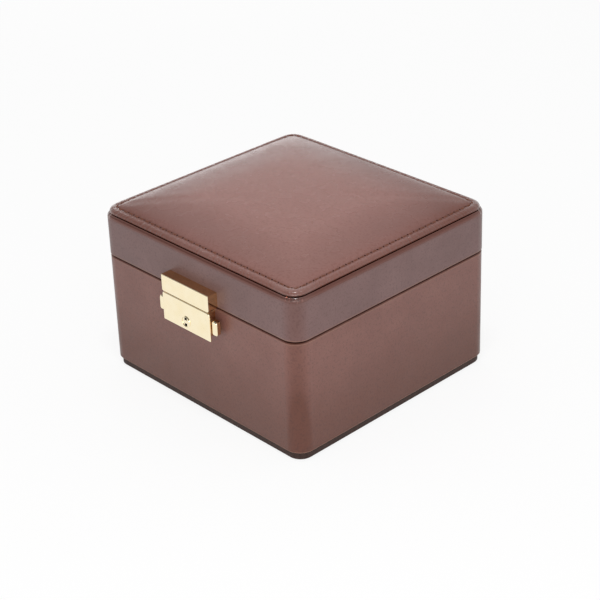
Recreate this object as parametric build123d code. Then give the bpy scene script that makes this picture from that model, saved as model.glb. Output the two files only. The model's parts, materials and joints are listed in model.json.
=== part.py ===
"""Leather-covered watch case with a padded hinged lid and a two-button brass lock.

Millimetres, +Z up. The origin is on the table, under the middle of the case.
The lock is on the -Y side and the hinges are on the +Y side.
"""
import os
from math import cos, radians, sin

from build123d import *

os.makedirs("parts", exist_ok=True)

# ---- The case: outside sizes are taken over the lid's leather ----
case_width = 160.0
case_depth = 152.5
corner_radius = 9.8
tightest_corner = 1.6       # least radius of any upright inside corner
lid_overhang = 0.15         # the lid stands this far outside the base all round
foot_height = 4.7           # thickness of the board that the case stands on
foot_inset = 1.5            # the foot board stands back from the base's walls
foot_chamfer = 0.5
seam_height = 72.3          # middle of the gap between base and lid
seam_gap = 0.7
band_top = 98.5             # top of the lid's side band, where the padded panel starts

# ---- Walls, from the outside in ----
leather = 1.0
wall_board = 6.5
turn_in = 12.0              # leather folded over the rim and down the inside
turn_under = 8.0            # leather folded under the base and over the lid's top
floor_board = 4.0
ceiling_board = 4.0
lining = 1.4                # velvet-covered card inside the walls
lining_drop = 4.0           # the lining ends this far short of the rim
edge_bevel = 0.6            # the leather's edges at the rims and at the foot
band_roll = 2.3             # rounding of the band's top edge

# ---- Padded panel on the lid ----
panel_inset = 1.3
panel_board = 2.0
rim_roll = 2.9              # rounding of the panel's edge
pad_inset = 5.9             # stitch line, where the padding starts
pad_rise = 4.9              # height of the cushion's middle above the rim
ceiling_pad = 5.0
ceiling_pad_bevel = 1.4
pad_corner = 14.0           # the filling leaves the corners rounder than the stitch line
pad_shoulder = 64.0         # slope of the cushion's edge, in degrees from upright
pad_crown = 2.3             # the cushion's top falls by this much from its middle to its shoulder
pad_clearance = 0.3         # soft pads stay this far from what they lie beside

# ---- Insert with the watch recesses ----
insert_drop = 13.25         # top of the insert below the base's rim
insert_fit = 0.3
velvet = 0.8
recess_diameter = 50.0
recess_depth = 15.0
recess_floor = 4.2          # foam left under each recess
bow_width = 13.0            # notch for the watch's crown and bow
bow_reach = 9.5             # how far the notch runs past the circle
bow_round = 4.0
cushion_height = 3.0
cushion_gap = 0.6
recess_columns = 2
recess_rows = 2

# ---- Stop hinges ----
hinge_inset = 22.0          # end of each hinge from the case's side
hinge_width = 24.0
leaf_depth = 7.0
leaf_thickness = 1.0
barrel_radius = 2.0
barrel_clearance = 0.3      # between the barrel and the case's back
pin_radius = 0.9
pin_clearance = 0.05
knuckle_gap = 0.2
stop_angle = 100.0          # the two stop flanges meet at this opening angle
flange_reach = 5.0
flange_thickness = 0.9

# ---- Lock ----
lock_depth = 6.7            # how far the lock stands out from the lid's face
cover_width = 38.7
cover_height = 10.1
cover_drop = 0.2            # lower edge of the cover below the middle of the seam
cover_wall = 1.1
cover_corner = 1.4
cover_round = 0.35
plate_width = 39.2
plate_height = 17.4
plate_gap = 0.5             # between the cover's lower edge and the top of the plate
plate_thickness = 1.0
plate_corner = 1.6          # rounding of the plate's upper corners
plate_lower_corner = 0.5
plate_bead = 0.8
case_side_inset = 2.75      # the lock case is this much narrower than its plate, each side
case_top_inset = 0.35
case_bottom_inset = 1.1
case_wall = 0.9
case_corner = 1.0
ring_radius = 3.4
ring_proud = 0.5
ring_bevel = 0.3
plug_radius = 2.9
plug_set_back = 0.25        # face of the plug behind the face of the ring
plug_running_gap = 0.05
key_axis_rise = 5.5         # centre of the cylinder above the plate's lower edge
keyway_width = 2.0
keyway_height = 5.2
keyway_depth = 3.0
key_post_radius = 1.1
waist_radius = 1.4          # the plug is thinner inside the lock case
tail_width = 1.6
tail_length = 1.5
plug_end_gap = 0.6

# ---- Push buttons and the hooks that they carry ----
button_width = 4.2
button_height = 8.8
button_thickness = 2.7
button_behind = 0.35        # face of the button behind the back of the plate, which it slides under
button_gap = 0.15           # between the plate's edge and the button
button_edge = 0.5
button_end_round = 1.6      # rounding of the button's corners, seen from the front
button_rise = 0.1           # middle of the button above the middle of the plate
slider_height = 3.2
slider_thickness = 1.0
slider_clearance = 0.2
hook_width = 2.8
hook_stand = 0.3            # between the hook's tip and the hasp's barb
hook_slope = 1.2
hasp_width = 28.0
hasp_thickness = 1.2
prong_width = 3.0
prong_centre = 10.5
prong_slot_gap = 0.5
prong_swing = 1.3           # room for the prong's tilt as the lid swings up
barb_reach = 2.5
barb_height = 2.2
barb_gap = 0.5
barb_lead = 1.0             # slope that pushes the hook aside as the lid closes

# ---- Levels and faces worked out from the sizes above ----
base_top = seam_height - seam_gap / 2
lid_bottom = seam_height + seam_gap / 2
lid_front = -case_depth / 2
base_front = lid_front + lid_overhang
lid_back = case_depth / 2
board_inset = lid_overhang + leather        # outside of the base's wooden wall
cavity_inset = board_inset + wall_board     # inside of the same wall
turned_inset = cavity_inset + leather       # face of the folded leather and back of the lining
room_inset = turned_inset + lining          # face of the lining
floor_top = foot_height + leather + floor_board
ceiling_bottom = band_top - leather - ceiling_board
insert_top = base_top - insert_drop
recess_bottom = insert_top - recess_depth
foam_bottom = recess_bottom - velvet - recess_floor
room_width = case_width - 2 * room_inset
room_depth = case_depth - 2 * room_inset
hinge_y = lid_back + barrel_clearance + barrel_radius
hinge_z = seam_height
plate_front = lid_front - lock_depth
plate_back = plate_front + plate_thickness
cover_bottom = seam_height - cover_drop
plate_top = cover_bottom - plate_gap
plate_bottom = plate_top - plate_height
lock_case_width = plate_width - 2 * case_side_inset
lock_case_top = plate_top - case_top_inset
lock_case_bottom = plate_bottom + case_bottom_inset
key_z = plate_bottom + key_axis_rise
button_z = (plate_top + plate_bottom) / 2 + button_rise
button_face = plate_back + button_behind
slider_front = button_face + (button_thickness - slider_thickness) / 2
slider_back = slider_front + slider_thickness
hasp_front = lid_front - hasp_thickness
prong_inner = prong_centre - prong_width / 2
prong_outer = prong_centre + prong_width / 2
barb_tip = prong_inner - barb_reach
hook_outer = barb_tip - hook_stand
slider_bottom = button_z - slider_height / 2
slider_top = button_z + slider_height / 2
barb_top = slider_bottom - barb_gap
barb_bottom = barb_top - barb_height
cover_top = cover_bottom + cover_height
hasp_bottom = cover_bottom + cover_wall + slider_clearance
hasp_top = cover_top - cover_wall - slider_clearance
rim_top = band_top + panel_board + leather
leaf_front = lid_back - lid_overhang - leaf_depth
hinge_spacing = case_width - 2 * hinge_inset - hinge_width
through = 1.0               # how far a cutter runs past what it cuts
touch = 0.01                # reach within which an edge counts as lying in a plane


def prism(inset, z_from, z_to):
    """The case's rounded outline, drawn in by inset, between two heights."""
    radius = max(corner_radius - inset, tightest_corner)
    outline = RectangleRounded(case_width - 2 * inset, case_depth - 2 * inset, radius)
    return extrude(Pos(0, 0, min(z_from, z_to)) * outline, abs(z_to - z_from))


def block(x_from, x_to, y_from, y_to, z_from, z_to):
    """A box between two corners."""
    size = Box(abs(x_to - x_from), abs(y_to - y_from), abs(z_to - z_from))
    return Pos((x_from + x_to) / 2, (y_from + y_to) / 2, (z_from + z_to) / 2) * size


def hinge_rod(radius, x_from, x_to):
    """A cylinder on the hinge's axis."""
    rod = Rot(0, 90, 0) * Cylinder(radius, x_to - x_from)
    return Pos((x_from + x_to) / 2, hinge_y, hinge_z) * rod


def key_rod(radius, y_from, y_to):
    """A cylinder on the key's axis."""
    rod = Rot(90, 0, 0) * Cylinder(radius, y_to - y_from)
    return Pos(0, (y_from + y_to) / 2, key_z) * rod


def mirrored(solid):
    """The same piece on the other side of the case's middle plane."""
    return mirror(solid, about=Plane.YZ)


def edges_at(solid, axis, place):
    """The edges that lie in the plane across an axis."""
    return solid.edges().filter_by_position(axis, place - touch, place + touch)


def edges_along(solid, axis):
    """The straight edges that run along an axis."""
    return solid.edges().filter_by(axis)


# ---- Case walls ----
def base_form():
    """Outside of the base's wooden walls and floor."""
    return prism(board_inset, foot_height + leather, base_top - leather)


def lid_form():
    """Outside of the lid's wooden walls and ceiling."""
    form = prism(leather, lid_bottom + leather, band_top - leather)
    return chamfer(edges_at(form, Axis.Z, band_top - leather), band_roll - leather)


def leather_wrap(outside, form, far, rim):
    """Leather glued round a wooden form: over the rim, down its inside, and over the far edge."""
    inward = 1 if far > rim else -1
    wrap = chamfer(edges_at(outside, Axis.Z, rim), edge_bevel) - form
    wrap -= prism(turned_inset, rim - inward * through, rim + inward * (leather + through))
    wrap -= prism(board_inset + turn_under, far + inward * through, far - inward * (leather + through))
    fold = prism(cavity_inset, rim, rim + inward * turn_in)
    fold -= prism(turned_inset, rim - inward * through, rim + inward * (turn_in + through))
    return wrap + fold


def hinge_seats(rim, inward):
    """Recesses in a rim for the leaves of the hinges."""
    seat = block(-hinge_width / 2, hinge_width / 2, leaf_front, hinge_y,
                 rim - inward * through, rim + inward * leaf_thickness)
    return [Pos(side * hinge_spacing / 2, 0, 0) * seat for side in (-1, 1)]


def base_leather():
    outside = prism(lid_overhang, foot_height, base_top)
    outside = chamfer(edges_at(outside, Axis.Z, foot_height), edge_bevel)
    return leather_wrap(outside, base_form(), foot_height, base_top) - hinge_seats(base_top, -1)


def base_carcass():
    """Open wooden box with a floor."""
    box = base_form() - prism(cavity_inset, floor_top, base_top)
    return box - hinge_seats(base_top, -1)


def foot_board():
    board = prism(lid_overhang + foot_inset, 0, foot_height)
    return chamfer(edges_at(board, Axis.Z, 0), foot_chamfer)


def base_lining():
    walls = prism(turned_inset, floor_top, base_top - lining_drop)
    return walls - prism(room_inset, floor_top - through, base_top)


def lid_leather():
    outside = prism(0, lid_bottom, band_top)
    outside = fillet(edges_at(outside, Axis.Z, band_top), band_roll)
    return leather_wrap(outside, lid_form(), band_top, lid_bottom) - hinge_seats(lid_bottom, 1)


def lid_carcass():
    """Wooden lid, open below."""
    box = lid_form() - prism(cavity_inset, lid_bottom, ceiling_bottom)
    return box - hinge_seats(lid_bottom, 1)


def lid_lining():
    walls = prism(turned_inset, lid_bottom + lining_drop, ceiling_bottom)
    return walls - prism(room_inset, lid_bottom, ceiling_bottom + through)


def lid_ceiling_pad():
    pad = prism(room_inset + pad_clearance, ceiling_bottom - ceiling_pad, ceiling_bottom)
    return chamfer(edges_at(pad, Axis.Z, ceiling_bottom - ceiling_pad), ceiling_pad_bevel)


# ---- Padded panel on the lid ----
def cushion_form(inset, z_start, rise):
    """A sloping shoulder on the case's outline, under a crown that curves both ways."""
    width = case_width - 2 * inset
    depth = case_depth - 2 * inset
    foot = Pos(0, 0, z_start) * RectangleRounded(width, depth, pad_corner)
    form = extrude(foot, rise, taper=pad_shoulder)
    for turned, across in ((Rot(90, 0, 0), width), (Rot(0, 90, 0), depth)):
        crown_radius = (across / 2) ** 2 / (2 * pad_crown)
        form &= Pos(0, 0, z_start + rise - crown_radius) * turned * Cylinder(crown_radius, case_width)
    return form


def lid_panel_board():
    board = prism(panel_inset + leather, band_top, band_top + panel_board)
    return chamfer(edges_at(board, Axis.Z, band_top + panel_board), rim_roll - leather)


def lid_panel_foam():
    return cushion_form(pad_inset + leather, rim_top - leather, pad_rise)


def lid_panel_leather():
    """Leather over board and padding, with a rolled rim outside the stitch line."""
    rim = prism(panel_inset, band_top, rim_top)
    rim = fillet(edges_at(rim, Axis.Z, rim_top), rim_roll)
    cover = rim + cushion_form(pad_inset, rim_top, pad_rise)
    return cover - lid_panel_board() - lid_panel_foam()


# ---- Insert ----
def recess_shape(grow, z_from, z_to):
    """Round seat for a watch, with a notch for its crown and bow."""
    radius = recess_diameter / 2 + grow
    notch_length = radius + bow_reach
    notch = RectangleRounded(bow_width + 2 * grow, notch_length, bow_round + grow)
    outline = Circle(radius) + Pos(0, notch_length / 2) * notch
    return extrude(Pos(0, -bow_reach / 2, z_from) * outline, z_to - z_from)


def recess_places():
    """Centres of the cells, row by row from the front left."""
    across = room_width / recess_columns
    along = room_depth / recess_rows
    places = []
    for row in range(recess_rows):
        for column in range(recess_columns):
            x = (column - (recess_columns - 1) / 2) * across
            y = (row - (recess_rows - 1) / 2) * along
            places.append(Pos(x, y, 0))
    return places


def insert_block():
    return prism(room_inset + insert_fit, floor_top, foam_bottom)


def insert_foam():
    foam = prism(room_inset + insert_fit, foam_bottom, insert_top - velvet)
    hole = recess_shape(velvet, recess_bottom - velvet, insert_top)
    return foam - [place * hole for place in recess_places()]


def insert_velvet():
    """Velvet over the foam, let down into a lined seat for each watch."""
    sheet = prism(room_inset + insert_fit, insert_top - velvet, insert_top)
    cup = recess_shape(velvet, recess_bottom - velvet, insert_top)
    seat = recess_shape(0, recess_bottom, insert_top + through)
    for place in recess_places():
        sheet += place * cup
        sheet -= place * seat
    return sheet


def recess_cushion():
    middle = Pos(0, -bow_reach / 2, recess_bottom + cushion_height / 2)
    return middle * Cylinder(recess_diameter / 2 - cushion_gap, cushion_height)


# ---- Stop hinges ----
def knuckle_spans():
    """Lengths along the axis: the outer two belong to the base leaf, the middle one to the lid leaf."""
    third = hinge_width / 3
    half_gap = knuckle_gap / 2
    left = (-hinge_width / 2, -third / 2 - half_gap)
    middle = (-third / 2 + half_gap, third / 2 - half_gap)
    right = (third / 2 + half_gap, hinge_width / 2)
    return [left, right], [middle]


def stop_flange(side, own_spans):
    """A fin behind the barrel. Its face is radial, so that the two fins meet flat."""
    z_low, z_high = (0, flange_thickness) if side > 0 else (-flange_thickness, 0)
    start = barrel_radius + barrel_clearance
    fin = block(-hinge_width / 2, hinge_width / 2, start, flange_reach, z_low, z_high)
    for x_from, x_to in own_spans:
        fin += block(x_from, x_to, pin_radius, start, z_low, z_high)
    return Pos(0, hinge_y, hinge_z) * Rot(side * stop_angle / 2, 0, 0) * fin


def hinge_leaf(rim, inward, side, own_spans, other_spans):
    """Leaf let into a rim, with its knuckles on the pin and its stop flange behind them."""
    leaf = block(-hinge_width / 2, hinge_width / 2, leaf_front, hinge_y, rim, rim + inward * leaf_thickness)
    for x_from, x_to in other_spans:
        leaf -= hinge_rod(barrel_radius + barrel_clearance, x_from - knuckle_gap, x_to + knuckle_gap)
    for x_from, x_to in own_spans:
        leaf += hinge_rod(barrel_radius, x_from, x_to)
    leaf += stop_flange(side, own_spans)
    return leaf - hinge_rod(pin_radius + pin_clearance, -hinge_width, hinge_width)


def hinge_base_leaf():
    outer, middle = knuckle_spans()
    return hinge_leaf(base_top, -1, -1, outer, middle)


def hinge_lid_leaf():
    outer, middle = knuckle_spans()
    return hinge_leaf(lid_bottom, 1, 1, middle, outer)


def hinge_pin():
    return hinge_rod(pin_radius, -hinge_width / 2, hinge_width / 2)


# ---- Lock ----
def lock_cover():
    """Folded brass cap on the lid, open behind, with slots below for the hasp's prongs."""
    half = cover_width / 2
    cap = block(-half, half, plate_front, lid_front, cover_bottom, cover_top)
    lower = edges_along(cap, Axis.Y).group_by(Axis.Z)[0]
    cap = fillet(lower, cover_corner)
    cap = fillet(edges_at(cap, Axis.Y, plate_front), cover_round)
    cap -= block(-half + cover_wall, half - cover_wall, plate_front + cover_wall, lid_front + through,
                 cover_bottom + cover_wall, cover_top - cover_wall)
    for side in (-1, 1):
        cap -= block(side * (prong_inner - slider_clearance), side * (prong_outer + slider_clearance),
                     hasp_front - slider_clearance, lid_front + through, cover_bottom - through, hasp_bottom)
    return cap


def lock_hasp():
    """Plate on the lid with two prongs, each with a barb that faces the middle."""
    plate = block(-hasp_width / 2, hasp_width / 2, hasp_front, lid_front, hasp_bottom, hasp_top)
    prong = block(prong_inner, prong_outer, hasp_front, lid_front, barb_bottom, hasp_bottom)
    barb = block(barb_tip, prong_inner + touch, hasp_front, lid_front, barb_bottom, barb_top)
    lead = edges_along(barb, Axis.Y).group_by(Axis.Z)[0].sort_by(Axis.X)[0]
    prong += chamfer(lead, barb_lead)
    return plate + prong + mirrored(prong)


def lock_plate():
    """Front plate with rounded corners and a rounded upper edge."""
    half = plate_width / 2
    plate = block(-half, half, plate_front, plate_back, plate_bottom, plate_top)
    plate = fillet(edges_along(plate, Axis.Y).group_by(Axis.Z)[-1], plate_corner)
    plate = fillet(edges_along(plate, Axis.Y).filter_by_position(Axis.Z, plate_bottom - touch,
                                                                 plate_bottom + touch), plate_lower_corner)
    upper = edges_at(plate, Axis.Y, plate_front).group_by(Axis.Z)[-1]
    plate = fillet(upper, plate_bead)
    return plate - key_rod(ring_radius, plate_front - through, plate_back + through)


def lock_ring():
    front = plate_front - ring_proud
    ring = key_rod(ring_radius, front, plate_back)
    ring = chamfer(edges_at(ring, Axis.Y, front), ring_bevel)
    return ring - key_rod(plug_radius + plug_running_gap, plate_front - through, plate_back + through)


def lock_case():
    """Box behind the plate, open at the back, with windows for the sliders and slots for the prongs."""
    half = lock_case_width / 2
    case = block(-half, half, plate_back, base_front, lock_case_bottom, lock_case_top)
    case = fillet(edges_along(case, Axis.Y), case_corner)
    case -= block(-half + case_wall, half - case_wall, plate_back + case_wall, base_front + through,
                  lock_case_bottom + case_wall, lock_case_top - case_wall)
    case -= block(-half - through, half + through, slider_front - slider_clearance,
                  slider_back + slider_clearance, slider_bottom - slider_clearance,
                  slider_top + slider_clearance)
    for side in (-1, 1):
        case -= block(side * (barb_tip - prong_slot_gap), side * (prong_outer + prong_slot_gap),
                      hasp_front - prong_swing, base_front + through,
                      lock_case_top - case_wall - through, lock_case_top + through)
    return case - key_rod(plug_radius + plug_running_gap, plate_back - through, plate_back + case_wall + through)


def lock_cylinder():
    """Key plug with a pin in its keyway and a flat tail."""
    front = plate_front - ring_proud + plug_set_back
    shoulder = plate_back + case_wall
    back = base_front - plug_end_gap
    plug = key_rod(plug_radius, front, shoulder) + key_rod(waist_radius, shoulder, back - tail_length)
    keyway = block(-keyway_width / 2, keyway_width / 2, front - through, front + keyway_depth,
                   key_z - keyway_height / 2, key_z + keyway_height / 2)
    plug -= keyway - key_rod(key_post_radius, front, front + keyway_depth)
    tail = key_rod(waist_radius, back - tail_length, back)
    slab = block(-tail_width / 2, tail_width / 2, front, base_front, lock_case_bottom, plate_top)
    return plug + (tail & slab)


def push_button():
    """Right button, its slider and the hook that holds the hasp."""
    inner = plate_width / 2 + button_gap
    head = block(inner, inner + button_width, button_face, button_face + button_thickness,
                 button_z - button_height / 2, button_z + button_height / 2)
    head = fillet(edges_along(head, Axis.Y), button_end_round)
    head = chamfer(edges_at(head, Axis.Y, button_face), button_edge)
    slider = block(hook_outer - hook_width, inner + button_width / 2, slider_front, slider_back,
                   slider_bottom, slider_top)
    hook = block(hook_outer - hook_width, hook_outer, slider_back - touch, lid_front, slider_bottom, slider_top)
    slope = edges_along(hook, Axis.Y).group_by(Axis.Z)[-1].sort_by(Axis.X)[-1]
    return head + slider + chamfer(slope, hook_slope)


# ---- Write one file for each piece ----
pieces = {
    "foot_board": foot_board(),
    "base_carcass": base_carcass(),
    "base_leather": base_leather(),
    "base_lining": base_lining(),
    "insert_block": insert_block(),
    "insert_foam": insert_foam(),
    "insert_velvet": insert_velvet(),
    "lid_carcass": lid_carcass(),
    "lid_leather": lid_leather(),
    "lid_lining": lid_lining(),
    "lid_ceiling_pad": lid_ceiling_pad(),
    "lid_panel_board": lid_panel_board(),
    "lid_panel_foam": lid_panel_foam(),
    "lid_panel_leather": lid_panel_leather(),
    "lock_cover": lock_cover(),
    "lock_hasp": lock_hasp(),
    "lock_plate": lock_plate(),
    "lock_ring": lock_ring(),
    "lock_case": lock_case(),
    "lock_cylinder": lock_cylinder(),
    "button_right": push_button(),
    "button_left": mirrored(push_button()),
}
for number, place in enumerate(recess_places(), start=1):
    pieces[f"recess_cushion_{number}"] = place * recess_cushion()
for name, side in (("left", -1), ("right", 1)):
    hinge_place = Pos(side * hinge_spacing / 2, 0, 0)
    pieces[f"hinge_{name}_base_leaf"] = hinge_place * hinge_base_leaf()
    pieces[f"hinge_{name}_lid_leaf"] = hinge_place * hinge_lid_leaf()
    pieces[f"hinge_{name}_pin"] = hinge_place * hinge_pin()

for node, piece in pieces.items():
    export_step(piece, f"parts/{node}.step")
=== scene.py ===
# %% [markdown]
# # A leather watch case with a padded lid
#
# The case is a wooden box covered in brown leather. Its lid carries a padded,
# stitched panel, and a small polished brass lock holds the lid shut.
# The wooden walls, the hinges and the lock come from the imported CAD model.
# This script gives them their finish and makes the soft and sewn pieces.

# %% Load the frame and keep its box
import json
import math

import bmesh
import bpy
from mathutils import Matrix, Vector


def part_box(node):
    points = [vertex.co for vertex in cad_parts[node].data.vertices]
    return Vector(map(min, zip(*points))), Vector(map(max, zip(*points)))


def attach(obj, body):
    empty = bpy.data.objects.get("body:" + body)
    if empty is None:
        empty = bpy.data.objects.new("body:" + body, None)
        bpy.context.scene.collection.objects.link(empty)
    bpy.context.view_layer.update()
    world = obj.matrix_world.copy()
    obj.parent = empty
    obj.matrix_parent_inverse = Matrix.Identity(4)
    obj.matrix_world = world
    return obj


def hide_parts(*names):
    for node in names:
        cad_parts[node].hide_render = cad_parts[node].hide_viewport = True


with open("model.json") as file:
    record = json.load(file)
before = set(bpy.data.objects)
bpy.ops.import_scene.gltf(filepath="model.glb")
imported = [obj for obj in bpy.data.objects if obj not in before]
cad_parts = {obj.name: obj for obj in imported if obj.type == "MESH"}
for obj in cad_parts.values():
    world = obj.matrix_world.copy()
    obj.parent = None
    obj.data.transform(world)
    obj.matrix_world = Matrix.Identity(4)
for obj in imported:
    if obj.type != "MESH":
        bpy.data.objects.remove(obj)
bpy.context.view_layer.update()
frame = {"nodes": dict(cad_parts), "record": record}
nodes = frame["nodes"]
mm = 0.001

# %% [markdown]
# ## The camera
#
# A camera with a long lens stands in front of one corner of the case and looks down
# on it. A Track To constraint could aim it, but couldn't give it a small roll. So
# its axes are worked out from three angles and written into its matrix. A little
# lens shift keeps the upright edges nearly parallel.

# %% Place the camera
turn = math.radians(46.94)
tilt = math.radians(24.63)
roll = math.radians(-2.09)
distance = 941.9 * mm
aim_height = 46.9 * mm
slide_right = 1.87 * mm
slide_up = 59.32 * mm
focal_length = 97.49
lens_shift = -0.1887


def add_object(name, data):
    thing = bpy.data.objects.new(name, data)
    bpy.context.scene.collection.objects.link(thing)
    return thing


back = Vector((math.sin(turn) * math.cos(tilt), -math.cos(turn) * math.cos(tilt), math.sin(tilt)))
level = Vector((math.cos(turn), math.sin(turn), 0))
upright = back.cross(level)
camera_x = math.cos(roll) * level + math.sin(roll) * upright
camera_y = math.cos(roll) * upright - math.sin(roll) * level
camera_data = bpy.data.cameras.new("camera")
camera_data.lens, camera_data.shift_y = focal_length, lens_shift
camera = add_object("camera", camera_data)
stand = Vector((0, 0, aim_height)) + back * distance + camera_x * slide_right + camera_y * slide_up
turned = Matrix((camera_x, camera_y, back)).transposed().to_4x4()
camera.matrix_world = Matrix.Translation(stand) @ turned
bpy.context.scene.camera = camera
bpy.context.scene.view_settings.view_transform = "Standard"
print("camera at, mm:", [round(v / mm) for v in stand])

# %% [markdown]
# ## Helpers for materials
#
# Nodes could be added by hand in the Shader editor. In a script, arithmetic on a
# small class can add the Math nodes, so that a mask reads like its formula.

# %% Helpers for node trees
def operator(operation, other_first=False):
    return lambda self, other=0.0: self.maths(operation, other, other_first)


class Value:
    """A value or colour that a node gives out. Arithmetic on it adds Math nodes."""

    def __init__(self, node, output=0):
        self.socket, self.tree = node.outputs[output], node.id_data

    __add__, __sub__, __mul__ = operator("ADD"), operator("SUBTRACT"), operator("MULTIPLY")
    __truediv__, __pow__, __abs__ = operator("DIVIDE"), operator("POWER"), operator("ABSOLUTE")
    __rsub__ = operator("SUBTRACT", other_first=True)

    def maths(self, operation, other=0.0, other_first=False):
        node = self.tree.nodes.new("ShaderNodeMath")
        node.operation = operation
        first, second = (other, self) if other_first else (self, other)
        feed(node.inputs[0], first)
        feed(node.inputs[1], second)
        return Value(node)

    def fade(self, low, high):
        """1 up to the low value, fading to 0 at the high one."""
        return self.ramp(low, high, 1.0, 0.0)

    def ramp(self, low, high, low_out=0.0, high_out=1.0):
        """The value mapped smoothly from one range to another."""
        node = put(self.tree, "ShaderNodeMapRange", {"interpolation_type": "SMOOTHSTEP"}, Value=self,
                   From_Min=low, From_Max=high, To_Min=low_out, To_Max=high_out)
        return Value(node, "Result")

    def blend(self, first, second):
        """A colour between two colours. The value is the second one's share."""
        node = put(self.tree, "ShaderNodeMix", {"data_type": "RGBA"}, Factor=self, A=first, B=second)
        return Value(node, "Result")


def feed(socket, value):
    """Links a value to a socket, or sets the socket to a plain number or colour."""
    if isinstance(value, Value):
        value.tree.links.new(value.socket, socket)
    else:
        socket.default_value = value


def fill(node, **sockets):
    """Feeds a node's sockets. An underscore in a socket's name stands for a space."""
    for name, value in sockets.items():
        feed(node.inputs[name.replace("_", " ")], value)


def put(tree, kind, settings=None, **sockets):
    """Adds a node, with its settings and what goes into its sockets."""
    node = tree.nodes.new(kind)
    for name, value in (settings or {}).items():
        setattr(node, name, value)
    fill(node, **sockets)
    return node


def axes(vector):
    parts = put(vector.tree, "ShaderNodeSeparateXYZ", Vector=vector)
    return [Value(parts, number) for number in range(3)]


# %% [markdown]
# ## Studio
#
# The case stands on a white table in a bright room. A real white floor keeps the
# soft shadow under the case, and the room and the floor also show in the leather's
# sheen and in the brass. So the room is white at the horizon, greyer overhead, and
# darkest above the side that the lock faces. The white itself is made with Light
# Path, so that the lamps can stay at a plain level. The small overhead lamp draws
# the bright lines along the rolled edges.

# %% Floor, sky and lamps
floor_size = 6.0
floor_gap = 0.05 * mm       # keeps the floor and the foot from sharing one plane
floor_glow = 0.86
floor_pale, floor_plain = (0.96, 0.96, 0.96, 1), (0.74, 0.74, 0.74, 1)
white = (1, 1, 1, 1)
sky_strength = 0.66
ceiling_tone = 0.60         # how the room looks overhead in a sheen, with the horizon at 1
front_shade = 0.70          # how much darker it is above the side that the lock faces
lamp_aim = Vector((0, 0, 50 * mm))


def seen_directly(tree):
    """1 for rays from the camera, and for those that come off or through a surface."""
    path = tree.nodes.new("ShaderNodeLightPath")
    rays = [Value(path, f"Is {kind} Ray") for kind in ("Camera", "Glossy", "Transmission")]
    return (rays[0] + rays[1] + rays[2]).maths("MINIMUM", 1.0)


def finish_tree(tree, output, share, first, second):
    """Ends a tree with two shaders. share is the second one's share."""
    mixed = tree.nodes.new("ShaderNodeMixShader")
    for socket, value in zip(mixed.inputs, (share, Value(first), Value(second))):
        feed(socket, value)
    put(tree, output, Surface=Value(mixed))


def new_object(name, shape):
    """An object in the scene with a bmesh's shape."""
    mesh = bpy.data.meshes.new(name)
    shape.to_mesh(mesh)
    return add_object(name, mesh)


def make_floor():
    shape = bmesh.new()
    bmesh.ops.create_grid(shape, x_segments=1, y_segments=1, size=floor_size / 2,
                          matrix=Matrix.Translation((0, 0, -floor_gap)))
    floor = new_object("floor", shape)
    shape.free()
    material = bpy.data.materials.new("floor")
    material.use_nodes = True
    tree = material.node_tree
    tree.nodes.clear()
    seen = seen_directly(tree)
    matt = put(tree, "ShaderNodeBsdfDiffuse", Color=seen.blend(floor_plain, floor_pale))
    glow = put(tree, "ShaderNodeEmission", Color=white, Strength=1.0)
    finish_tree(tree, "ShaderNodeOutputMaterial", seen * floor_glow, matt, glow)
    floor.data.materials.append(material)


def make_sky():
    world = bpy.data.worlds.new("studio")
    world.use_nodes = True
    tree = world.node_tree
    tree.nodes.clear()
    _, away, up = axes(Value(tree.nodes.new("ShaderNodeTexCoord"), "Generated"))
    over_front = away.fade(-0.65, -0.20) * up.ramp(0.10, 0.35)
    room = up.ramp(0.05, 0.50, 1.0, ceiling_tone) * (1.0 - over_front * front_shade)
    camera_ray = Value(tree.nodes.new("ShaderNodeLightPath"), "Is Camera Ray")
    soft = put(tree, "ShaderNodeBackground", Color=white, Strength=sky_strength)
    shown = put(tree, "ShaderNodeBackground", Color=camera_ray.blend(room, white), Strength=1.0)
    finish_tree(tree, "ShaderNodeOutputWorld", seen_directly(tree), soft, shown)
    bpy.context.scene.world = world


def make_lamp(name, place, width, height, power):
    """A soft box that looks at the middle of the case."""
    data = bpy.data.lights.new(name, "AREA")
    data.shape = "RECTANGLE"
    data.size, data.size_y = width, height
    data.energy = power
    lamp = add_object(name, data)
    facing = (lamp_aim - Vector(place)).to_track_quat("-Z", "Y")
    lamp.matrix_world = Matrix.Translation(place) @ facing.to_matrix().to_4x4()


make_floor()
make_sky()
make_lamp("back", (-0.90, 0.62, 0.23), 0.55, 0.22, 0.65)
make_lamp("front", (0.42, -0.40, 0.20), 0.4, 0.3, 0.72)
make_lamp("overhead", (0.22, -0.20, 1.12), 0.16, 0.16, 3.0)
print("lamps made: 3")

# %% [markdown]
# ## Leather grain
#
# The case is covered in smooth, finished cowhide: fine creases round small cells, a
# soft cloudy tone with fine specks, and a gloss that changes a little from place to
# place. Painted images could carry this, but noise has no seams and holds up close
# by. One node group makes it for every leather piece.

# %% Node group: leather grain
grain_cells = 1150.0        # scales are in cells for each metre
wobble_scale = 260.0
wobble_reach = 0.0016       # how far the noise moves the cells, in metres
pebble_scale = 520.0
speck_scale = 750.0
cloud_scale = 34.0
gloss_scale = 75.0
grain_outputs = ("Height", "Cloud", "Speck", "Gloss")


def noise(place, scale, detail=2.0, roughness=0.5):
    """A noise value round 0.5. The scale is in cells for each metre."""
    return Value(put(place.tree, "ShaderNodeTexNoise", Vector=place, Scale=scale, Detail=detail,
                     Roughness=roughness), "Fac")


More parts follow.
